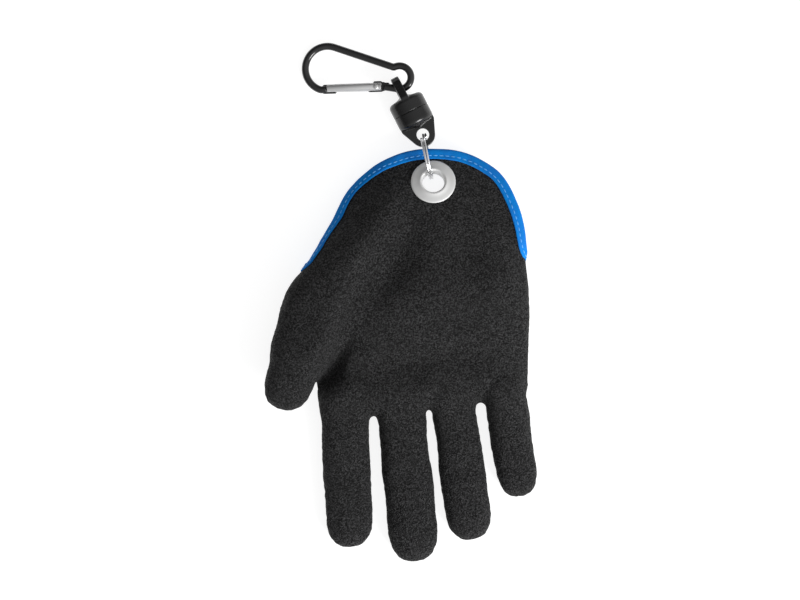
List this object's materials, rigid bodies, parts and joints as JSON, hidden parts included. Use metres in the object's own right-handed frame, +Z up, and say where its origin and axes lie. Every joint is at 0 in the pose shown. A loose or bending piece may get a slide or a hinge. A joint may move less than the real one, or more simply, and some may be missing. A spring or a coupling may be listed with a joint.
{
  "type": "fishing glove with release clip and carabiner",
  "caption": "Right-hand landing glove in crinkled latex with a rounded cuff flap, bound edge, eyelet, split ring, magnetic release clip and small carabiner.",
  "frame": {"origin": "centre of the bounding box in X and Y, on the surface that the glove lies on", "axes": "+Z up out of the palm, +Y from the fingers to the carabiner, +X from the thumb to the little finger"},
  "size_m": [0.1476, 0.2836, 0.0298],
  "materials": {
    "latex": "matt crinkled latex",
    "binding": "woven tape with one row of stitches",
    "eyelet_metal": "satin",
    "ring_steel": "bright",
    "clip_plastic": "half gloss moulded",
    "magnet": "plated",
    "black_rod": "black anodised",
    "gate_metal": "brushed"
  },
  "bodies": {
    "glove": {"glove_shell": "latex", "edge_binding": "binding", "eyelet": "eyelet_metal", "eyelet_washer": "eyelet_metal", "split_ring": "ring_steel", "clip_lower": "clip_plastic", "clip_upper": "clip_plastic", "magnet_lower": "magnet", "magnet_upper": "magnet", "carabiner_body": "black_rod", "gate_pin": "gate_metal"},
    "gate": {"carabiner_gate": "gate_metal"}
  },
  "joints": [
    {"name": "gate_hinge", "type": "hinge", "parent": "glove", "child": "gate", "pos_m": [-0.0126, 0.1178, 0.00805], "axis": [0.1536, 0, -0.9881], "range_deg": [0, 30], "stiffness_Nm_per_rad": 0.03, "springref_deg": -11.46}
  ]
}
